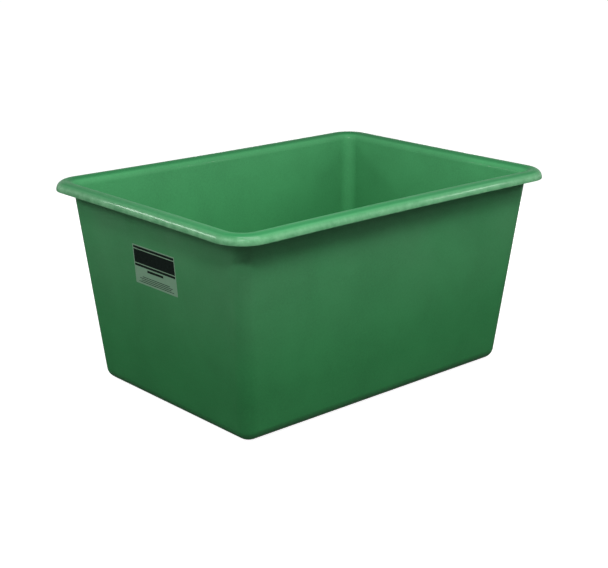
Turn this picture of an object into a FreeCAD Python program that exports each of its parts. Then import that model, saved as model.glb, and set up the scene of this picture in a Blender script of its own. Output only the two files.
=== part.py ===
"""Mortar mixing tub: a one-piece glass-fibre moulding with a rolled rim, and its printed sticker.

The tub stands on the XY plane with its length along X. Lengths are in millimetres.
"""

import FreeCAD, Part

import math
import os

import Sketcher
from FreeCAD import Vector

# The driving dimensions: alias, value, what it is.
SIZES = [
    ("height", 700, "floor to crown of the rim"),
    ("rim_length", 1410, "outside of the lip, along X, across the corners"),
    ("rim_width", 1028, "outside of the lip, along Y, across the corners"),
    ("long_bow", 9.5, "how far the middle of a long side of the rim draws in"),
    ("short_bow", 3, "how far the middle of a short side of the rim draws in"),
    ("wall_draft", 5.26, "slope of the walls from the vertical, in degrees"),
    ("wall_thickness", 4, "laminate in the walls"),
    ("floor_thickness", 5, "laminate in the floor"),
    ("rim_thickness", 5, "laminate in the rim"),
    ("wall_corner_radius", 44, "upright corners under the rim, outside"),
    ("base_corner_radius", 48, "upright corners at the foot of the walls, outside"),
    ("base_radius", 42, "edge between walls and base, outside"),
    ("lip_drop", 30.5, "crown of the rim down to the free edge of the lip"),
    ("rim_outer_radius", 28, "rounding from crown to lip, outside"),
    ("crown_flat", 3, "flat land along the crown"),
    ("rim_inner_radius", 30, "rounding from crown to inner wall"),
    ("label_width", 224, "sticker, along the wall"),
    ("label_height", 131, "sticker, up the wall"),
    ("label_middle", 483, "floor to the middle of the sticker"),
    ("film_thickness", 0.3, "sticker film"),
    ("ink_thickness", 0.1, "printed layer on the film"),
    ("band_margin", 4, "bare film around the dark band"),
    ("band_height", 68, "dark printed band"),
    ("rule_margin", 18, "bare film beside the longest printed rule"),
    ("rule_height", 2.2, "printed rule"),
    ("rule_pitch", 6, "from one printed rule to the next"),
    ("rule_foot", 7, "bottom of the film to the lowest rule"),
    ("bar_width", 86, "thick printed bar above the rules"),
    ("bar_height", 8, "thick printed bar above the rules"),
    ("bar_gap", 5, "dark band down to the thick bar"),
]
RULE_SHARES = (1.0, 0.86, 0.93, 0.78)

doc = FreeCAD.newDocument("MortarTub")
sheet = doc.addObject("Spreadsheet::Sheet", "Sizes")
for row, (alias, value, note) in enumerate(SIZES, start=1):
    sheet.set(f"A{row}", alias)
    sheet.set(f"B{row}", str(value))
    sheet.set(f"C{row}", note)
    sheet.setAlias(f"B{row}", alias)
doc.recompute()


def size(alias):
    """The present value of a driving dimension, in millimetres."""
    return float(getattr(sheet, alias))


# The four corners of an outline, in turning order from +X +Y.
QUADRANTS = ((1, 1), (-1, 1), (-1, -1), (1, -1))

# Sizes that follow from the driving ones, as expressions.
SLOPE = "tan(Sizes.wall_draft * 1deg)"
LEVEL_WALL = "(Sizes.wall_thickness / cos(Sizes.wall_draft * 1deg))"
RIM_FOOT = "(Sizes.height - Sizes.rim_inner_radius * (1 - sin(Sizes.wall_draft * 1deg)))"
RIM_REACH = (
    "(Sizes.rim_outer_radius + Sizes.crown_flat"
    " + Sizes.rim_inner_radius * cos(Sizes.wall_draft * 1deg))"
)
OVERHANG = f"({RIM_REACH} - {LEVEL_WALL})"
RIM_CORNER = f"(Sizes.wall_corner_radius + {OVERHANG})"
FOOT_TOP = "(Sizes.base_radius * (1 - sin(Sizes.wall_draft * 1deg)))"
FOOT_REACH = "(Sizes.base_radius * cos(Sizes.wall_draft * 1deg))"
FOOT_INSET = f"({OVERHANG} + ({RIM_FOOT} - {FOOT_TOP}) * {SLOPE})"


def evaluate(expression):
    """The value of an expression over the sheet, as a plain number."""
    value = sheet.evalExpression(expression)
    return float(getattr(value, "Value", value))


def bind(target, path, expression):
    target.setExpression(path, expression)


def plane_of(body, role):
    return next(item for item in body.Origin.OriginFeatures if item.Role == role)


def new_sketch(name, body=None, role=None, level=None):
    """A sketch on one of the body's origin planes, or on the document's XY plane without a body."""
    if body is None:
        sketch = doc.addObject("Sketcher::SketchObject", name)
        if level is not None:
            bind(sketch, "Placement.Base.z", level)
        return sketch
    sketch = body.newObject("Sketcher::SketchObject", name)
    sketch.AttachmentSupport = [(plane_of(body, role), "")]
    sketch.MapMode = "FlatFace"
    if level is not None:
        bind(sketch, "AttachmentOffset.Base.z", level)
    return sketch


def constrain(sketch, expression, *arguments):
    """Add a dimension to the sketch and bind it to an expression."""
    index = sketch.addConstraint(Sketcher.Constraint(*arguments, evaluate(expression)))
    bind(sketch, f"Constraints[{index}]", expression)


def join(sketch, kind, *arguments):
    sketch.addConstraint(Sketcher.Constraint(kind, *arguments))


def draw_line(sketch, x1, y1, x2, y2):
    return sketch.addGeometry(Part.LineSegment(Vector(x1, y1, 0), Vector(x2, y2, 0)), False)


def corner_arc(x, y, radius, start, end):
    circle = Part.Circle(Vector(x, y, 0), Vector(0, 0, 1), radius)
    return Part.ArcOfCircle(circle, start, end)


def place_corners(sketch, corners, half_length, half_width, radius, centre_inset):
    """Set the four corner radii, with their centres inset from the outline's two half sizes."""
    for edge, (side_x, side_y) in zip(corners, QUADRANTS):
        across = (edge, 3, -1, 1) if side_x < 0 else (-1, 1, edge, 3)
        along = (edge, 3, -1, 1) if side_y < 0 else (-1, 1, edge, 3)
        constrain(sketch, f"{half_length} - {centre_inset}", "DistanceX", *across)
        constrain(sketch, f"{half_width} - {centre_inset}", "DistanceY", *along)
        constrain(sketch, radius, "Radius", edge)


def straight_outline(sketch, half_length, half_width, radius):
    """A rounded rectangle centred on the origin: four corners and four straight sides."""
    r = evaluate(radius)
    x = evaluate(half_length) - r
    y = evaluate(half_width) - r
    centres = [Vector(side_x * x, side_y * y, 0) for side_x, side_y in QUADRANTS]
    outward = (Vector(0, r, 0), Vector(-r, 0, 0), Vector(0, -r, 0), Vector(r, 0, 0))
    corners = []
    edges = []
    for turn, centre in enumerate(centres):
        start_angle = turn * math.pi / 2
        arc = corner_arc(centre.x, centre.y, r, start_angle, start_angle + math.pi / 2)
        corners.append(sketch.addGeometry(arc, False))
        start = centre + outward[turn]
        end = centres[(turn + 1) % 4] + outward[turn]
        edges += [corners[-1], draw_line(sketch, start.x, start.y, end.x, end.y)]
    for first, second in zip(edges, edges[1:] + edges[:1]):
        join(sketch, "Tangent", first, 2, second, 1)
    place_corners(sketch, corners, half_length, half_width, radius, radius)


def bowed_outline(sketch, inset):
    """The rim's outline moved in by inset: a rounded rectangle whose four sides draw in.

    Each side is an arc about a point far outside the tub, tangent to both of its corners.
    Outlines at different insets are parallel, because they share their centres.
    """
    half_length = "Sizes.rim_length / 2"
    half_width = "Sizes.rim_width / 2"
    reach_x = f"({half_length} - {RIM_CORNER})"
    reach_y = f"({half_width} - {RIM_CORNER})"
    long_radius = f"({reach_x}^2 + Sizes.long_bow^2) / (2 * Sizes.long_bow) - {RIM_CORNER}"
    short_radius = f"({reach_y}^2 + Sizes.short_bow^2) / (2 * Sizes.short_bow) - {RIM_CORNER}"
    corner = f"{RIM_CORNER} - {inset}"

    x = evaluate(reach_x)
    y = evaluate(reach_y)
    r = evaluate(corner)
    long_side = evaluate(f"{long_radius} + {inset}")
    short_side = evaluate(f"{short_radius} + {inset}")
    far_y = y + (long_side + r) - size("long_bow")
    far_x = x + (short_side + r) - size("short_bow")
    corner_points = [Vector(side_x * x, side_y * y, 0) for side_x, side_y in QUADRANTS]
    side_points = (Vector(0, far_y, 0), Vector(-far_x, 0, 0), Vector(0, -far_y, 0), Vector(far_x, 0, 0))
    side_radii = (long_side, short_side, long_side, short_side)

    def angle_of(centre, towards):
        return math.atan2(towards.y - centre.y, towards.x - centre.x)

    corners = []
    sides = []
    ends = []
    for turn, centre in enumerate(corner_points):
        before = side_points[turn - 1]
        after = side_points[turn]
        following = corner_points[(turn + 1) % 4]
        arc = corner_arc(centre.x, centre.y, r, angle_of(centre, before), angle_of(centre, after))
        corners.append(sketch.addGeometry(arc, False))
        side = corner_arc(
            after.x, after.y, side_radii[turn], angle_of(after, following), angle_of(after, centre)
        )
        sides.append(sketch.addGeometry(side, False))
        ends += [(corners[-1], 1, 2), (sides[-1], 2, 1)]
    for (first, _, end), (second, start, _) in zip(ends, ends[1:] + ends[:1]):
        join(sketch, "Tangent", first, end, second, start)
    place_corners(sketch, corners, half_length, half_width, corner, RIM_CORNER)
    for turn, edge in enumerate(sides):
        radius = long_radius if turn % 2 == 0 else short_radius
        constrain(sketch, f"{radius} + {inset}", "Radius", edge)


def foot_outline(name, body, level, growth):
    """The straight-sided outline where the walls meet the base's rounding, grown outward."""
    sketch = new_sketch(name, body, "XY_Plane", level)
    half_length = f"(Sizes.rim_length / 2 - {FOOT_INSET} + {growth})"
    half_width = f"(Sizes.rim_width / 2 - {FOOT_INSET} + {growth})"
    straight_outline(sketch, half_length, half_width, f"(Sizes.base_corner_radius + {growth})")
    return sketch


def rim_outline(name, body, level, inset):
    """The rim's bowed outline at one height, moved in by inset."""
    sketch = new_sketch(name, body, "XY_Plane", level)
    bowed_outline(sketch, inset)
    return sketch


def foot_profile(sketch):
    """Section through the rounding between floor and wall, in the plane Y = 0.

    The sketch's X runs outward and its Y runs up.
    """
    outer_x = f"(Sizes.rim_length / 2 - {FOOT_INSET})"
    outer_wall = evaluate(outer_x)
    inner_wall = outer_wall - evaluate(LEVEL_WALL)
    top = evaluate(FOOT_TOP)
    centre_x = outer_wall - evaluate(FOOT_REACH)
    outer = size("base_radius")
    floor = size("floor_thickness")
    inner = outer - floor
    slope = math.radians(size("wall_draft"))

    under = sketch.addGeometry(corner_arc(centre_x, outer, outer, -math.pi / 2, -slope), False)
    wall_end = draw_line(sketch, outer_wall, top, inner_wall, top)
    above = sketch.addGeometry(corner_arc(centre_x, outer, inner, -math.pi / 2, -slope), False)
    floor_end = draw_line(sketch, centre_x, floor, centre_x, 0)
    join(sketch, "Coincident", under, 2, wall_end, 1)
    join(sketch, "Coincident", wall_end, 2, above, 2)
    join(sketch, "Coincident", above, 1, floor_end, 1)
    join(sketch, "Coincident", floor_end, 2, under, 1)
    join(sketch, "Horizontal", wall_end)
    join(sketch, "Vertical", floor_end)
    join(sketch, "Vertical", under, 3, under, 1)
    join(sketch, "Vertical", above, 3, above, 1)
    constrain(sketch, "Sizes.base_radius", "Radius", under)
    constrain(sketch, outer_x, "DistanceX", -1, 1, under, 2)
    constrain(sketch, FOOT_TOP, "DistanceY", -1, 1, under, 2)
    constrain(sketch, FOOT_REACH, "DistanceX", under, 1, under, 2)
    constrain(sketch, "Sizes.floor_thickness", "DistanceY", floor_end, 2, floor_end, 1)
    constrain(sketch, LEVEL_WALL, "DistanceX", wall_end, 2, wall_end, 1)


def rim_profile(sketch):
    """Section through the rim: crown, lip and the start of the wall, in the plane Y = 0.

    The sketch's X runs outward and its Y runs up.
    """
    lip = "Sizes.rim_length / 2 - Sizes.short_bow"
    lip_x = evaluate(lip)
    top = size("height")
    thick = size("rim_thickness")
    outer = size("rim_outer_radius")
    inner = size("rim_inner_radius")
    foot = evaluate(RIM_FOOT)
    inner_wall = lip_x - evaluate(RIM_REACH)
    outer_wall = lip_x - evaluate(OVERHANG)
    flat_start = lip_x - outer
    flat_end = flat_start - size("crown_flat")
    edge = top - size("lip_drop")
    wall_turn = math.pi - math.radians(size("wall_draft"))

    lip_outside = draw_line(sketch, lip_x, edge, lip_x, top - outer)
    crown_outer = sketch.addGeometry(corner_arc(flat_start, top - outer, outer, 0, math.pi / 2), False)
    crown = draw_line(sketch, flat_start, top, flat_end, top)
    crown_inner = sketch.addGeometry(
        corner_arc(flat_end, top - inner, inner, math.pi / 2, wall_turn), False
    )
    wall_end = draw_line(sketch, inner_wall, foot, outer_wall, foot)
    under_inner = sketch.addGeometry(
        corner_arc(flat_end, top - inner, inner - thick, math.pi / 2, wall_turn), False
    )
    under_crown = draw_line(sketch, flat_end, top - thick, flat_start, top - thick)
    under_outer = sketch.addGeometry(
        corner_arc(flat_start, top - outer, outer - thick, 0, math.pi / 2), False
    )
    lip_inside = draw_line(sketch, lip_x - thick, top - outer, lip_x - thick, edge)
    lip_edge = draw_line(sketch, lip_x - thick, edge, lip_x, edge)

    join(sketch, "Tangent", lip_outside, 2, crown_outer, 1)
    join(sketch, "Tangent", crown_outer, 2, crown, 1)
    join(sketch, "Tangent", crown, 2, crown_inner, 1)
    join(sketch, "Coincident", crown_inner, 2, wall_end, 1)
    join(sketch, "Coincident", wall_end, 2, under_inner, 2)
    join(sketch, "Tangent", under_inner, 1, under_crown, 1)
    join(sketch, "Tangent", under_crown, 2, under_outer, 2)
    join(sketch, "Tangent", under_outer, 1, lip_inside, 1)
    join(sketch, "Coincident", lip_inside, 2, lip_edge, 1)
    join(sketch, "Coincident", lip_edge, 2, lip_outside, 1)
    join(sketch, "Vertical", lip_outside)
    join(sketch, "Vertical", lip_inside)
    join(sketch, "Horizontal", crown)
    join(sketch, "Horizontal", under_crown)
    join(sketch, "Horizontal", wall_end)
    join(sketch, "Horizontal", lip_edge)
    join(sketch, "Coincident", under_outer, 3, crown_outer, 3)
    join(sketch, "Vertical", crown_inner, 3, under_inner, 3)
    constrain(sketch, lip, "DistanceX", -1, 1, lip_outside, 1)
    constrain(sketch, "Sizes.height - Sizes.lip_drop", "DistanceY", -1, 1, lip_outside, 1)
    constrain(sketch, "Sizes.height", "DistanceY", -1, 1, crown, 1)
    constrain(sketch, "Sizes.rim_outer_radius", "Radius", crown_outer)
    constrain(sketch, "Sizes.crown_flat", "DistanceX", crown, 2, crown, 1)
    constrain(sketch, "Sizes.rim_inner_radius", "Radius", crown_inner)
    constrain(sketch, RIM_FOOT, "DistanceY", -1, 1, wall_end, 1)
    constrain(sketch, LEVEL_WALL, "DistanceX", wall_end, 1, wall_end, 2)
    constrain(sketch, "Sizes.rim_thickness", "DistanceX", lip_edge, 1, lip_edge, 2)


def add_loft(body, kind, name, low, high):
    loft = body.newObject(f"PartDesign::{kind}", name)
    loft.Profile = low
    loft.Sections = [high]
    loft.Ruled = True
    doc.recompute()
    return loft


def add_pipe(body, name, profile, path):
    """Sweep a section once around the tub, upright all the way."""
    pipe = body.newObject("PartDesign::AdditivePipe", name)
    pipe.Profile = profile
    pipe.Spine = (path, [f"Edge{number}" for number in range(1, 9)])
    pipe.Mode = "Binormal"
    pipe.Binormal = Vector(0, 0, 1)
    doc.recompute()
    return pipe


def make_tub():
    """The moulding: a floor, its rounded edge, the walls and the rim, one on the other."""
    body = doc.addObject("PartDesign::Body", "TubShell")
    body.Label = "tub_shell"

    plate = foot_outline("FloorOutline", body, "0", f"(0 - {FOOT_REACH})")
    floor = body.newObject("PartDesign::Pad", "Floor")
    floor.Profile = plate
    bind(floor, "Length", "Sizes.floor_thickness")
    doc.recompute()

    path = foot_outline("FootPath", body, "0", "0")
    profile = new_sketch("FootSection", body, "XZ_Plane")
    foot_profile(profile)
    doc.recompute()
    add_pipe(body, "Foot", profile, path)

    low = foot_outline("WallFoot", body, FOOT_TOP, "0")
    high = rim_outline("WallTop", body, RIM_FOOT, OVERHANG)
    add_loft(body, "AdditiveLoft", "Walls", low, high)
    low = foot_outline("CavityFoot", body, FOOT_TOP, f"(0 - {LEVEL_WALL})")
    high = rim_outline("CavityTop", body, RIM_FOOT, RIM_REACH)
    add_loft(body, "SubtractiveLoft", "Cavity", low, high)

    path = rim_outline("RimPath", body, "Sizes.height", "Sizes.rim_outer_radius")
    profile = new_sketch("RimSection", body, "XZ_Plane")
    rim_profile(profile)
    doc.recompute()
    add_pipe(body, "Rim", profile, path)
    return body


def make_wall_block(name, growth):
    """The tub's outer walls as a solid block, grown outward by a level distance."""
    block = doc.addObject("Part::Loft", f"{name}Block")
    block.Sections = [
        foot_outline(f"{name}Foot", None, FOOT_TOP, growth),
        rim_outline(f"{name}Top", None, RIM_FOOT, f"({OVERHANG} - {growth})"),
    ]
    block.Solid = True
    block.Ruled = True
    return block


def make_window(name, width, depth, middle):
    """A block through the labelled wall, width along Y and depth along Z."""
    window = doc.addObject("Part::Box", f"{name}Window")
    bind(window, "Length", "Sizes.rim_length / 2")
    bind(window, "Width", width)
    bind(window, "Height", depth)
    bind(window, "Placement.Base.x", "-Sizes.rim_length / 2")
    bind(window, "Placement.Base.y", f"-({width}) / 2")
    bind(window, "Placement.Base.z", f"{middle} - ({depth}) / 2")
    return window


def make_skin(name, label, window, outer, inner):
    """What lies inside a window between two wall blocks: a thin skin that follows the wall."""
    filled = doc.addObject("Part::Common", f"{name}Filled")
    filled.Base = window
    filled.Tool = outer
    skin = doc.addObject("Part::Cut", name)
    skin.Base = filled
    skin.Tool = inner
    skin.Label = label
    return skin


def make_sticker():
    """The film on the -X wall, with its print as a thin layer on top of it."""
    wall = make_wall_block("Bare", "0")
    film_block = make_wall_block("Film", "(Sizes.film_thickness / cos(Sizes.wall_draft * 1deg))")
    ink_block = make_wall_block(
        "Ink", "((Sizes.film_thickness + Sizes.ink_thickness) / cos(Sizes.wall_draft * 1deg))"
    )
    film_window = make_window("Film", "Sizes.label_width", "Sizes.label_height", "Sizes.label_middle")
    film = make_skin("LabelFilm", "label_film", film_window, film_block, wall)

    top = "(Sizes.label_middle + Sizes.label_height / 2)"
    bottom = "(Sizes.label_middle - Sizes.label_height / 2)"
    band_top = f"({top} - Sizes.band_margin)"
    band_window = make_window(
        "Band",
        "Sizes.label_width - 2 * Sizes.band_margin",
        "Sizes.band_height",
        f"({band_top} - Sizes.band_height / 2)",
    )
    band = make_skin("LabelBand", "label_band", band_window, ink_block, film_block)

    marks = [
        make_window(
            "Bar",
            "Sizes.bar_width",
            "Sizes.bar_height",
            f"({band_top} - Sizes.band_height - Sizes.bar_gap - Sizes.bar_height / 2)",
        )
    ]
    for number, share in enumerate(RULE_SHARES):
        marks.append(
            make_window(
                f"Rule{number}",
                f"(Sizes.label_width - 2 * Sizes.rule_margin) * {share}",
                "Sizes.rule_height",
                f"({bottom} + Sizes.rule_foot + {number} * Sizes.rule_pitch + Sizes.rule_height / 2)",
            )
        )
    windows = doc.addObject("Part::Compound", "MarkWindows")
    windows.Links = marks
    rules = make_skin("LabelRules", "label_rules", windows, ink_block, film_block)
    doc.recompute()
    return [film, band, rules]


subparts = [make_tub()] + make_sticker()
doc.recompute()

for item in doc.Objects:
    if "Invalid" in item.State or "Error" in item.State:
        raise SystemExit(f"{item.Label} failed to build: {item.State}")
for part in subparts:
    if part.Shape.isNull() or not part.Shape.isValid() or not part.Shape.Solids:
        raise SystemExit(f"{part.Label} has no valid solid")

os.makedirs("parts", exist_ok=True)
for part in subparts:
    part.Shape.exportStep(f"parts/{part.Label}.step")
    box = part.Shape.BoundBox
    corners = [round(value, 2) for value in (box.XMin, box.YMin, box.ZMin, box.XMax, box.YMax, box.ZMax)]
    print(part.Label, len(part.Shape.Solids), round(part.Shape.Volume), corners)
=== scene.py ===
"""Looks of the mortar mixing tub: a satin green glass-fibre moulding and its printed sticker."""

import math

import bpy
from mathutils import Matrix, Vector


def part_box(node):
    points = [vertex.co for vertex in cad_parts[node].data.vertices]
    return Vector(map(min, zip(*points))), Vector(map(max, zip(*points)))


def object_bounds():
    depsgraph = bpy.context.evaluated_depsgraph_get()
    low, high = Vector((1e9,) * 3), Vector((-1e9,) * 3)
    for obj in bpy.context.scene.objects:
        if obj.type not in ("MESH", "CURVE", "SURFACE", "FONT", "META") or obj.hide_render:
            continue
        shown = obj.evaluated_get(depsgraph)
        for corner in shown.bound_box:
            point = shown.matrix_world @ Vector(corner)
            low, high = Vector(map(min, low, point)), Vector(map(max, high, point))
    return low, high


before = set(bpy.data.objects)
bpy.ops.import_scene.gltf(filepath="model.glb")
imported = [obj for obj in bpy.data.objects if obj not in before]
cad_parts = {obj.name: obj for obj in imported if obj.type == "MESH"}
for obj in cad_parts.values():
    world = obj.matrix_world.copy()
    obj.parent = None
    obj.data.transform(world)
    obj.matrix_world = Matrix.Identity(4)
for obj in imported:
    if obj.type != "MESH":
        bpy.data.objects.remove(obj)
cad_bounds = [list(corner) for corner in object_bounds()]

# Camera: its two angles, and its distance and rise in heights of the tub.
VIEW_AZIMUTH = math.radians(-41.68)
VIEW_ELEVATION = math.radians(17.27)
VIEW_DISTANCE = 6.443
VIEW_RISE = 0.0591
LENS_MM = 76.6

# Studio: ambient level, the floor's shade for light and for the camera, and how much it glows there.
AMBIENT = 0.22
FLOOR_REACH = 60.0
FLOOR_ALBEDO = 0.17
FLOOR_SEEN = 0.50
FLOOR_GLOW = 0.915

# Lamps: name, place, aim, width and height, all in metres, and power in watts.
TUB_MIDDLE = (0, 0, 0.5)
LAMPS = (
    ("key", (-0.30, -1.40, 2.35), TUB_MIDDLE, (1.40, 1.20), 56.5),
    ("top", (-1.83, -1.66, 2.45), TUB_MIDDLE, (0.60, 0.20), 33),
    ("softbox_right", (1.80, -1.50, 1.60), TUB_MIDDLE, (2.20, 1.80), 12),
    ("softbox_left", (-1.80, 1.525, 1.44), TUB_MIDDLE, (0.60, 0.27), 12.4),
    ("fill", (-2.85, -0.17, 2.15), TUB_MIDDLE, (1.60, 1.60), 25),
    ("back", (1.90, 1.90, 0.45), (0, 0, 0.3), (1.60, 0.40), 30),
    ("glint_right", (1.19, -1.24, 1.18), (0.24, -0.50, 0.69), (0.31, 0.15), 3.2),
    ("glint_corner", (-0.80, -0.64, 1.69), (-0.67, -0.48, 0.69), (0.42, 0.05), 4.5),
)

# Heights that the gelcoat's looks follow, each from where a look starts to where it is whole.
RIM_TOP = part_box("tub_shell")[1][2]
RIM_EDGE = RIM_TOP - 0.0305
RIM_HEIGHTS = (RIM_EDGE - 0.003, RIM_EDGE)
CROWN_HEIGHTS = (RIM_TOP - 0.010, RIM_TOP - 0.003)
# Painted light: the walls are painted lighter upwards over these heights.
PAINTED_LIGHT_HEIGHTS = (0.15, 0.65)
DUST_AND_LIGHT_HEIGHTS = (0.25, 0.60)
CLEAN_HEIGHTS = (0.002, 0.014)

# How far a surface faces away from the tub's middle, as its distance times the turn of its normal.
FACING_OUT = (0.15, 0.55)
FACING_COAT = (0.0, 0.30)

# How much a normal points up where the lip's scuffs and painted light end, and down where the foot's
# dirt ends.
SCUFF_AND_LIGHT_TURN = (0.45, 0.85)
DIRT_TURN = (-0.4, -0.1)

# Gelcoat colours, as albedos. The upper green is painted light, the rim green is painted shade, and the
# dust and lip scuff colours are partly painted light.
GREEN_LOW = (0.0240, 0.170, 0.0520)
GREEN_HIGH = (0.0420, 0.206, 0.0780)
GREEN_RIM_PAINTED_SHADE = (0.0130, 0.120, 0.0380)
LIP_SCUFFS_AND_LIGHT = (0.225, 0.475, 0.270)
DUST_AND_LIGHT = (0.25, 0.36, 0.27)
BASE_GRIME = (0.125, 0.160, 0.115)

# Sticker colours, and the dark band's two pale lines.
FILM = (0.145, 0.275, 0.178)
FILM_PALE = (0.175, 0.290, 0.195)
INK = (0.002, 0.006, 0.004)
LINE_INSET = 0.0095
LINE_HEIGHT = 0.0030

# Spans for mapping one value to another.
NOISE_BODY = (0.3, 0.7)
RISING = (0.0, 1.0)
FALLING = (1.0, 0.0)


class Graph:
    """A node tree. Each call adds a node, feeds it and returns its result."""

    def __init__(self, tree):
        self.nodes = tree.nodes
        self.links = tree.links

    def add(self, kind):
        return self.nodes.new("ShaderNode" + kind)

    def feed(self, socket, value):
        """Give a socket a number, a colour or vector, or another node's result."""
        if isinstance(value, bpy.types.NodeSocket):
            self.links.new(value, socket)
        elif socket.type == "RGBA":
            socket.default_value = (*value, 1)
        else:
            socket.default_value = value

    def feed_all(self, node, **values):
        for name, value in values.items():
            self.feed(node.inputs[name.replace("_", " ").title()], value)

    def place(self):
        return self.add("TexCoord").outputs["Object"]

    def height_of(self, vector):
        split = self.add("SeparateXYZ")
        self.feed(split.inputs[0], vector)
        return split.outputs["Z"]

    def noise(self, place, scale, detail, roughness=0.5, distortion=0.0):
        noise = self.add("TexNoise")
        self.feed_all(
            noise, vector=place, scale=scale, detail=detail, roughness=roughness, distortion=distortion
        )
        return noise.outputs["Fac"]

    def span(self, value, start, result):
        """Map a value from one span to another, and keep it within the second."""
        mapped = self.add("MapRange")
        self.feed_all(
            mapped, value=value, from_min=start[0], from_max=start[1], to_min=result[0], to_max=result[1]
        )
        return mapped.outputs["Result"]

    def mix(self, factor, first, second, blend="MIX"):
        """Mix two colours."""
        mix = self.add("Mix")
        mix.data_type = "RGBA"
        mix.blend_type = blend
        for socket, value in ((mix.inputs[0], factor), (mix.inputs[6], first), (mix.inputs[7], second)):
            self.feed(socket, value)
        return mix.outputs[2]

    def math(self, operation, *values):
        """A math node, with its result kept in 0 to 1."""
        node = self.add("Math")
        node.operation = operation
        node.use_clamp = True
        for socket, value in zip(node.inputs, values):
            self.feed(socket, value)
        return node.outputs[0]

    def vector_math(self, operation, first, second):
        node = self.add("VectorMath")
        node.operation = operation
        self.feed(node.inputs[0], first)
        self.feed(node.inputs[1], second)
        return node.outputs["Value" if operation == "DOT_PRODUCT" else "Vector"]

    def bump(self, height, strength, distance, normal=None):
        bump = self.add("Bump")
        self.feed_all(bump, height=height, strength=strength, distance=distance)
        if normal is not None:
            self.feed(bump.inputs["Normal"], normal)
        return bump.outputs["Normal"]


def make_camera():
    """A long lens from the labelled end's side, a little above the rim."""
    height = cad_bounds[1][2]
    sin_a, cos_a = math.sin(VIEW_AZIMUTH), math.cos(VIEW_AZIMUTH)
    sin_e, cos_e = math.sin(VIEW_ELEVATION), math.cos(VIEW_ELEVATION)
    back = Vector((sin_a * cos_e, -cos_a * cos_e, sin_e))
    up = Vector((-sin_a * sin_e, cos_a * sin_e, cos_e))
    target = Vector((0, 0, height / 2))
    data = bpy.data.cameras.new("Camera")
    data.lens = LENS_MM
    camera = bpy.data.objects.new("Camera", data)
    camera.location = target + height * (VIEW_DISTANCE * back - VIEW_RISE * up)
    camera.rotation_euler = (math.pi / 2 - VIEW_ELEVATION, 0, VIEW_AZIMUTH)
    bpy.context.scene.collection.objects.link(camera)
    bpy.context.scene.camera = camera


def make_lamp(name, place, aim, size, power):
    data = bpy.data.lights.new(name, "AREA")
    data.shape = "RECTANGLE"
    data.size, data.size_y = size
    data.energy = power
    lamp = bpy.data.objects.new(name, data)
    lamp.location = place
    lamp.rotation_euler = (Vector(aim) - Vector(place)).to_track_quat("-Z", "Y").to_euler()
    bpy.context.scene.collection.objects.link(lamp)


def new_material(name):
    material = bpy.data.materials.new(name)
    material.use_nodes = True
    return material, Graph(material.node_tree), material.node_tree.nodes["Principled BSDF"]


def set_material(piece, material):
    piece.data.materials.clear()
    piece.data.materials.append(material)


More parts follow.
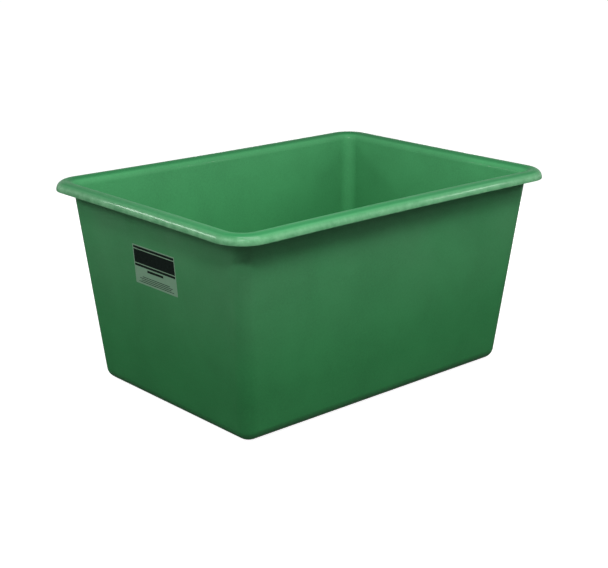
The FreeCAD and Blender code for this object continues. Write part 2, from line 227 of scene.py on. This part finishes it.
def make_green():
    """Green glass-fibre moulding: satin gelcoat, faint cloudiness and fibre print, light wear, and
    painted light and shade on the walls and rim.
    """
    material, graph, shader = new_material("grp_green")
    place = graph.place()
    height = graph.height_of(place)
    normal = graph.add("NewGeometry").outputs["Normal"]
    normal_up = graph.height_of(normal)
    facing = graph.vector_math("DOT_PRODUCT", graph.vector_math("MULTIPLY", place, (1, 1, 0)), normal)
    outside = graph.span(facing, FACING_OUT, RISING)

    # Painted light: the gelcoat is painted lighter towards the rim, where the walls are lit more. It is
    # also faintly cloudy and speckled.
    colour = graph.mix(graph.span(height, PAINTED_LIGHT_HEIGHTS, RISING), GREEN_LOW, GREEN_HIGH)
    cloud = graph.noise(place, scale=5.0, detail=4.0, roughness=0.55, distortion=0.4)
    grains = graph.noise(place, scale=170.0, detail=2.0, roughness=0.6)
    cloudy = graph.span(cloud, NOISE_BODY, (0.90, 1.10))
    grainy = graph.span(grains, NOISE_BODY, (0.75, 1.25))
    colour = graph.mix(1.0, colour, graph.mix(0.25, cloudy, grainy), "MULTIPLY")

    # Patchy dust on the outer walls, painted stronger towards their top: partly dust, partly painted
    # light where the upper walls are lit more.
    dust_and_light = graph.noise(place, scale=3.0, detail=4.0, roughness=0.6, distortion=0.3)
    dust_and_light = graph.span(dust_and_light, (0.35, 0.65), (0.03, 0.10))
    dust_and_light = graph.math("MULTIPLY", dust_and_light, graph.span(height, DUST_AND_LIGHT_HEIGHTS, RISING))
    dust_and_light = graph.math("MULTIPLY", dust_and_light, outside)
    colour = graph.mix(dust_and_light, colour, DUST_AND_LIGHT)

    # Painted shade: the rim's crown and the outside of its rolled lip are painted a darker green than
    # the walls.
    lip = graph.math("MULTIPLY", graph.span(height, RIM_HEIGHTS, RISING), outside)
    crown = graph.span(height, CROWN_HEIGHTS, RISING)
    colour = graph.mix(graph.math("MAXIMUM", crown, lip), colour, GREEN_RIM_PAINTED_SHADE)
    # Handling has scuffed the outer face of the lip. The scuffs are painted in a bright green that also
    # paints light onto that face.
    worn = graph.noise(place, scale=30.0, detail=6.0, roughness=0.68)
    worn = graph.span(worn, (0.36, 0.66), (0.24, 0.50))
    worn = graph.math("MULTIPLY", worn, lip)
    worn = graph.math("MULTIPLY", worn, graph.span(normal_up, SCUFF_AND_LIGHT_TURN, FALLING))
    colour = graph.mix(worn, colour, LIP_SCUFFS_AND_LIGHT)

    # Dirt and abrasion under the tub and round its foot.
    foot = graph.span(height, CLEAN_HEIGHTS, FALLING)
    foot = graph.math("MULTIPLY", foot, graph.span(normal_up, DIRT_TURN, FALLING))
    patchy = graph.noise(place, scale=22.0, detail=5.0, roughness=0.6)
    foot = graph.math("MULTIPLY", foot, graph.span(patchy, NOISE_BODY, (0.25, 0.85)))
    colour = graph.mix(foot, colour, BASE_GRIME)
    graph.feed(shader.inputs["Base Color"], colour)

    # Satin with level wiping streaks, under a thin gloss that is fullest outside. Dirt is duller.
    satin = graph.noise(place, scale=14.0, detail=5.0, roughness=0.6)
    stretched = graph.add("Mapping")
    graph.feed_all(stretched, vector=place, scale=(5, 5, 190))
    streaks = graph.noise(stretched.outputs["Vector"], scale=1.0, detail=3.0, roughness=0.6)
    rough = graph.math(
        "ADD",
        graph.span(satin, NOISE_BODY, (0.42, 0.50)),
        graph.span(streaks, (0.4, 0.7), (0.0, 0.06)),
    )
    rough = graph.math("ADD", rough, graph.math("MULTIPLY", foot, 0.3))
    graph.feed(shader.inputs["Roughness"], rough)
    shader.inputs["Specular IOR Level"].default_value = 0.06
    graph.feed(shader.inputs["Coat Weight"], graph.span(facing, FACING_COAT, (0.05, 0.20)))
    shader.inputs["Coat Roughness"].default_value = 0.07

    # Slow mould waviness, and glass fibres printing through.
    waves = graph.noise(place, scale=6.0, detail=1.0, roughness=0.4)
    fibres = graph.noise(place, scale=120.0, detail=3.0, roughness=0.55, distortion=1.5)
    relief = graph.bump(waves, strength=1.0, distance=0.0012)
    relief = graph.bump(fibres, strength=0.3, distance=0.0004, normal=relief)
    graph.feed(shader.inputs["Normal"], relief)
    return material


def wrinkle_sticker(graph, shader, place):
    """Soft wrinkles, the same in the film and in its print."""
    wrinkles = graph.noise(place, scale=28.0, detail=2.0, roughness=0.5, distortion=0.6)
    graph.feed(shader.inputs["Normal"], graph.bump(wrinkles, strength=0.5, distance=0.0006))


def make_film():
    """The sticker's film: grey-green satin, slightly mottled, with soft wrinkles."""
    material, graph, shader = new_material("label_film")
    place = graph.place()
    mottle = graph.noise(place, scale=45.0, detail=5.0, roughness=0.6)
    colour = graph.mix(graph.span(mottle, NOISE_BODY, (0.0, 0.6)), FILM, FILM_PALE)
    graph.feed(shader.inputs["Base Color"], colour)
    satin = graph.noise(place, scale=110.0, detail=3.0)
    graph.feed(shader.inputs["Roughness"], graph.span(satin, NOISE_BODY, (0.38, 0.52)))
    shader.inputs["Specular IOR Level"].default_value = 0.3
    wrinkle_sticker(graph, shader, place)
    return material


def make_ink(name, with_lines):
    """Black print, faintly worn; with_lines adds the band's two pale lines."""
    material, graph, shader = new_material(name)
    place = graph.place()
    worn = graph.noise(place, scale=160.0, detail=5.0, roughness=0.7)
    colour = graph.mix(graph.span(worn, (0.62, 0.80), (0.0, 0.5)), INK, FILM)
    if with_lines:
        low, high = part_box("label_band")
        height = graph.height_of(place)
        for level in (low[2] + LINE_INSET, high[2] - LINE_INSET):
            near = graph.math("COMPARE", height, level, LINE_HEIGHT / 2)
            colour = graph.mix(near, colour, FILM_PALE)
    graph.feed(shader.inputs["Base Color"], colour)
    satin = graph.noise(place, scale=90.0, detail=4.0)
    graph.feed(shader.inputs["Roughness"], graph.span(satin, NOISE_BODY, (0.42, 0.60)))
    shader.inputs["Specular IOR Level"].default_value = 0.08
    wrinkle_sticker(graph, shader, place)
    return material


def make_floor():
    """A pale floor that reads white to the camera and keeps the tub's soft shadow."""
    corners = [(x * FLOOR_REACH, y * FLOOR_REACH, 0) for x, y in ((-1, -1), (1, -1), (1, 1), (-1, 1))]
    mesh = bpy.data.meshes.new("floor")
    mesh.from_pydata(corners, [], [(0, 1, 2, 3)])
    floor = bpy.data.objects.new("floor", mesh)
    bpy.context.scene.collection.objects.link(floor)
    material, graph, shader = new_material("floor")
    shader.inputs["Roughness"].default_value = 0.9
    shader.inputs["Specular IOR Level"].default_value = 0.0
    shader.inputs["Emission Color"].default_value = (1, 1, 1, 1)
    seen = graph.add("LightPath").outputs["Is Camera Ray"]
    graph.feed(shader.inputs["Base Color"], graph.mix(seen, (FLOOR_ALBEDO,) * 3, (FLOOR_SEEN,) * 3))
    graph.feed(shader.inputs["Emission Strength"], graph.math("MULTIPLY", seen, FLOOR_GLOW))
    set_material(floor, material)


def make_world():
    """Even ambient light; white where a camera, glossy or transmission ray meets it."""
    world = bpy.data.worlds.new("World")
    bpy.context.scene.world = world
    world.use_nodes = True
    graph = Graph(world.node_tree)
    background = world.node_tree.nodes["Background"]
    background.inputs["Color"].default_value = (1, 1, 1, 1)
    path = graph.add("LightPath").outputs
    seen = graph.math("MAXIMUM", path["Is Camera Ray"], path["Is Transmission Ray"])
    seen = graph.math("MAXIMUM", seen, path["Is Glossy Ray"])
    graph.feed(background.inputs["Strength"], graph.span(seen, RISING, (AMBIENT, 1.0)))


make_camera()
bpy.context.scene.view_settings.view_transform = "Standard"
make_world()
make_floor()
for lamp in LAMPS:
    make_lamp(*lamp)

set_material(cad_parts["tub_shell"], make_green())
set_material(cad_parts["label_film"], make_film())
set_material(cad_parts["label_band"], make_ink("label_ink_band", True))
set_material(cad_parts["label_rules"], make_ink("label_ink_rules", False))
